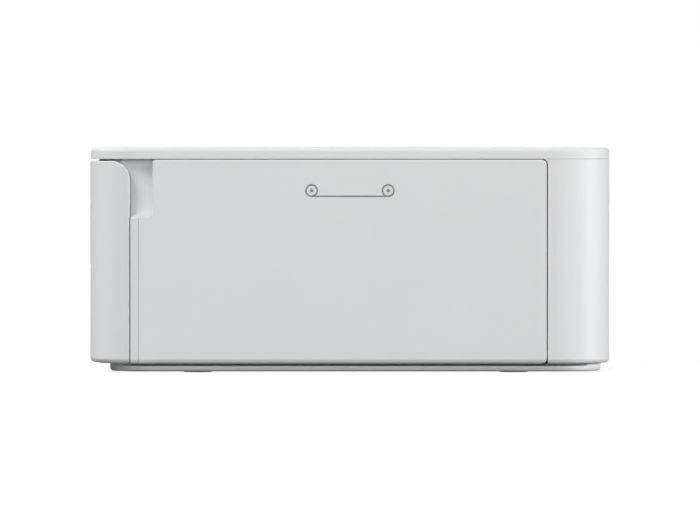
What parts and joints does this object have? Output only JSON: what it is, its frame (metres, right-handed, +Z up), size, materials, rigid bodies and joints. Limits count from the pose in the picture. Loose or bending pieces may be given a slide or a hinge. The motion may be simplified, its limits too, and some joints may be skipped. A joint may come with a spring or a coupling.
{
  "type": "compact photo printer",
  "caption": "Small closed photo printer with a hinged front cover, a drop-down ink door, a display and keys on top, and a ribbon cassette, print head and paper drive inside.",
  "frame": {"origin": "centre of the closed body's footprint, on the table", "axes": "+Z up; -Y the front, where the paper cassette goes; +X the ink cassette side"},
  "size_m": [0.182, 0.133, 0.0576],
  "materials": {
    "casing_white": "fine satin texture",
    "base_grey": "fine matt",
    "foot_rubber": "matt",
    "port_grey": "matt",
    "display_glass": "gloss",
    "display_module": "satin",
    "circuit_board": "solder resist",
    "steel": "ground",
    "sheet_steel": "zinc plated",
    "nylon": "moulded",
    "brass": "machined",
    "motor_case": "plated",
    "roller_rubber": "ground",
    "heat_sink_aluminium": "extruded",
    "head_ceramic": "glazed",
    "inner_black": "moulded",
    "inner_grey": "moulded",
    "lever_blue": "moulded",
    "cassette_grey": "moulded",
    "spool_white": "moulded",
    "ribbon_film": "film",
    "key_grey": "satin",
    "key_print": "satin",
    "key_power": "satin"
  },
  "bodies": {
    "chassis": {"base_tray": "base_grey", "body_shell": "casing_white", "cassette_bay_bezel": "inner_grey", "chassis_left_plate": "sheet_steel", "chassis_right_plate": "sheet_steel", "chassis_tie_bars": "sheet_steel", "control_board": "circuit_board", "dc_jack": "inner_black", "door_hinge_pins": "nylon", "feed_motor": "motor_case", "front_paper_guide": "inner_black", "head_pivot_rod": "steel", "io_board": "circuit_board", "lcd_module": "display_module", "lcd_window": "display_glass", "main_board": "circuit_board", "motor_bracket": "sheet_steel", "rear_panel": "casing_white", "rear_paper_guide": "inner_black", "ribbon_motor": "motor_case", "rubber_feet": "foot_rubber", "screws": "steel", "shaft_bushings": "nylon", "top_cover": "casing_white"},
    "front_cover": {"front_cover": "casing_white"},
    "ink_door": {"ink_door": "casing_white"},
    "battery_port_cover": {"battery_port_cover": "port_grey"},
    "lift_plate": {"paper_lift_plate": "inner_black"},
    "pickup": {"pickup_shaft": "steel", "pickup_roller": "roller_rubber"},
    "capstan": {"capstan_roller": "steel", "capstan_gear": "nylon"},
    "pinch_roller": {"pinch_roller": "steel"},
    "platen": {"platen_roller": "roller_rubber", "platen_shaft": "steel"},
    "reduction_gear": {"reduction_gear": "nylon"},
    "feed_motor_pinion": {"feed_motor_pinion": "brass"},
    "ribbon_motor_pinion": {"ribbon_motor_pinion": "brass"},
    "takeup_spindle": {"takeup_spindle": "nylon"},
    "print_head": {"head_arm": "sheet_steel", "thermal_head": "head_ceramic", "heat_sink": "heat_sink_aluminium"},
    "ink_cassette": {"ink_cassette_frame": "cassette_grey", "ink_ribbon": "ribbon_film"},
    "supply_spool": {"supply_spool": "spool_white"},
    "takeup_spool": {"takeup_spool": "spool_white"},
    "eject_lever": {"eject_lever": "lever_blue"},
    "power_key": {"power_key": "key_power"},
    "menu_key": {"menu_key": "key_grey"},
    "edit_key": {"edit_key": "key_grey"},
    "up_key": {"up_key": "key_grey"},
    "down_key": {"down_key": "key_grey"},
    "left_key": {"left_key": "key_grey"},
    "right_key": {"right_key": "key_grey"},
    "ok_key": {"ok_key": "key_grey"},
    "copies_minus_key": {"copies_minus_key": "key_grey"},
    "copies_plus_key": {"copies_plus_key": "key_grey"},
    "back_key": {"back_key": "key_grey"},
    "print_key": {"print_key": "key_print"}
  },
  "joints": [
    {"name": "front_cover_hinge", "type": "hinge", "parent": "chassis", "child": "front_cover", "pos_m": [-0.089, -0.0564, 0.028], "axis": [0, 0, -1], "range_deg": [0, 90]},
    {"name": "ink_door_hinge", "type": "hinge", "parent": "chassis", "child": "ink_door", "pos_m": [0.0889, 0, 0.0047], "axis": [0, 1, 0], "range_deg": [0, 90]},
    {"name": "battery_port_slide", "type": "slide", "parent": "chassis", "child": "battery_port_cover", "axis": [0, 1, 0], "range_m": [0, 0.012]},
    {"name": "lift_plate_tilt", "type": "hinge", "parent": "chassis", "child": "lift_plate", "pos_m": [0, -0.056, 0.0039], "axis": [1, 0, 0], "range_deg": [0, 30]},
    {"name": "head_press", "type": "hinge", "parent": "chassis", "child": "print_head", "pos_m": [0, 0.046, 0.047], "axis": [1, 0, 0], "range_deg": [0, 5.5], "stiffness_Nm_per_rad": 0.8, "springref_deg": -5.73},
    {"name": "cassette_eject", "type": "slide", "parent": "chassis", "child": "ink_cassette", "axis": [1, 0, 0], "range_m": [0, 0.008]},
    {"name": "eject_lever_turn", "type": "hinge", "parent": "chassis", "child": "eject_lever", "pos_m": [0.072, -0.038, 0.035], "axis": [0, 0, -1], "range_deg": [0, 24.5]},
    {"name": "capstan_spin", "type": "hinge", "parent": "chassis", "child": "capstan", "pos_m": [0, 0.038, 0.0197], "axis": [1, 0, 0], "continuous": true},
    {"name": "reduction_gear_spin", "type": "hinge", "parent": "chassis", "child": "reduction_gear", "pos_m": [0, 0.0236, 0.0155], "axis": [1, 0, 0], "continuous": true},
    {"name": "feed_motor_spin", "type": "hinge", "parent": "chassis", "child": "feed_motor_pinion", "pos_m": [0, 0.00802, 0.01995], "axis": [1, 0, 0], "continuous": true},
    {"name": "pinch_roller_spin", "type": "hinge", "parent": "chassis", "child": "pinch_roller", "pos_m": [0, 0.038, 0.0264], "axis": [1, 0, 0], "continuous": true},
    {"name": "platen_spin", "type": "hinge", "parent": "chassis", "child": "platen", "pos_m": [0, 0.004, 0.016], "axis": [1, 0, 0], "continuous": true},
    {"name": "pickup_spin", "type": "hinge", "parent": "chassis", "child": "pickup", "pos_m": [0, -0.033, 0.026], "axis": [1, 0, 0], "continuous": true},
    {"name": "takeup_spool_spin", "type": "hinge", "parent": "ink_cassette", "child": "takeup_spool", "pos_m": [0, 0.022, 0.035], "axis": [1, 0, 0], "continuous": true},
    {"name": "supply_spool_spin", "type": "hinge", "parent": "ink_cassette", "child": "supply_spool", "pos_m": [0, -0.014, 0.035], "axis": [1, 0, 0], "continuous": true},
    {"name": "takeup_spindle_spin", "type": "hinge", "parent": "chassis", "child": "takeup_spindle", "pos_m": [0, 0.022, 0.035], "axis": [1, 0, 0], "continuous": true},
    {"name": "ribbon_motor_spin", "type": "hinge", "parent": "chassis", "child": "ribbon_motor_pinion", "pos_m": [0, 0.03256, 0.04292], "axis": [1, 0, 0], "continuous": true},
    {"name": "power_key_press", "type": "slide", "parent": "chassis", "child": "power_key", "axis": [0, 0, -1], "range_m": [0, 0.0005], "stiffness_N_per_m": 400, "springref_m": -0.001},
    {"name": "menu_key_press", "type": "slide", "parent": "chassis", "child": "menu_key", "axis": [0, 0, -1], "range_m": [0, 0.0005], "stiffness_N_per_m": 400, "springref_m": -0.001},
    {"name": "edit_key_press", "type": "slide", "parent": "chassis", "child": "edit_key", "axis": [0, 0, -1], "range_m": [0, 0.0005], "stiffness_N_per_m": 400, "springref_m": -0.001},
    {"name": "up_key_press", "type": "slide", "parent": "chassis", "child": "up_key", "axis": [0, 0, -1], "range_m": [0, 0.0005], "stiffness_N_per_m": 400, "springref_m": -0.001},
    {"name": "down_key_press", "type": "slide", "parent": "chassis", "child": "down_key", "axis": [0, 0, -1], "range_m": [0, 0.0005], "stiffness_N_per_m": 400, "springref_m": -0.001},
    {"name": "left_key_press", "type": "slide", "parent": "chassis", "child": "left_key", "axis": [0, 0, -1], "range_m": [0, 0.0005], "stiffness_N_per_m": 400, "springref_m": -0.001},
    {"name": "right_key_press", "type": "slide", "parent": "chassis", "child": "right_key", "axis": [0, 0, -1], "range_m": [0, 0.0005], "stiffness_N_per_m": 400, "springref_m": -0.001},
    {"name": "ok_key_press", "type": "slide", "parent": "chassis", "child": "ok_key", "axis": [0, 0, -1], "range_m": [0, 0.0005], "stiffness_N_per_m": 400, "springref_m": -0.001},
    {"name": "copies_minus_key_press", "type": "slide", "parent": "chassis", "child": "copies_minus_key", "axis": [0, 0, -1], "range_m": [0, 0.0005], "stiffness_N_per_m": 400, "springref_m": -0.001},
    {"name": "copies_plus_key_press", "type": "slide", "parent": "chassis", "child": "copies_plus_key", "axis": [0, 0, -1], "range_m": [0, 0.0005], "stiffness_N_per_m": 400, "springref_m": -0.001},
    {"name": "back_key_press", "type": "slide", "parent": "chassis", "child": "back_key", "axis": [0, 0, -1], "range_m": [0, 0.0005], "stiffness_N_per_m": 400, "springref_m": -0.001},
    {"name": "print_key_press", "type": "slide", "parent": "chassis", "child": "print_key", "axis": [0, 0, -1], "range_m": [0, 0.0005], "stiffness_N_per_m": 400, "springref_m": -0.001}
  ],
  "couplings": [
    {"joint": "eject_lever_turn", "follows": "cassette_eject", "rad_per_m": 52.36},
    {"joint": "reduction_gear_spin", "follows": "capstan_spin", "ratio": -2.5714},
    {"joint": "feed_motor_spin", "follows": "capstan_spin", "ratio": 7.3469},
    {"joint": "pinch_roller_spin", "follows": "capstan_spin", "ratio": -1},
    {"joint": "platen_spin", "follows": "capstan_spin", "ratio": 0.42857},
    {"joint": "supply_spool_spin", "follows": "takeup_spool_spin", "ratio": 0.71233},
    {"joint": "takeup_spindle_spin", "follows": "takeup_spool_spin", "ratio": 1},
    {"joint": "ribbon_motor_spin", "follows": "takeup_spool_spin", "ratio": -2.1429}
  ]
}
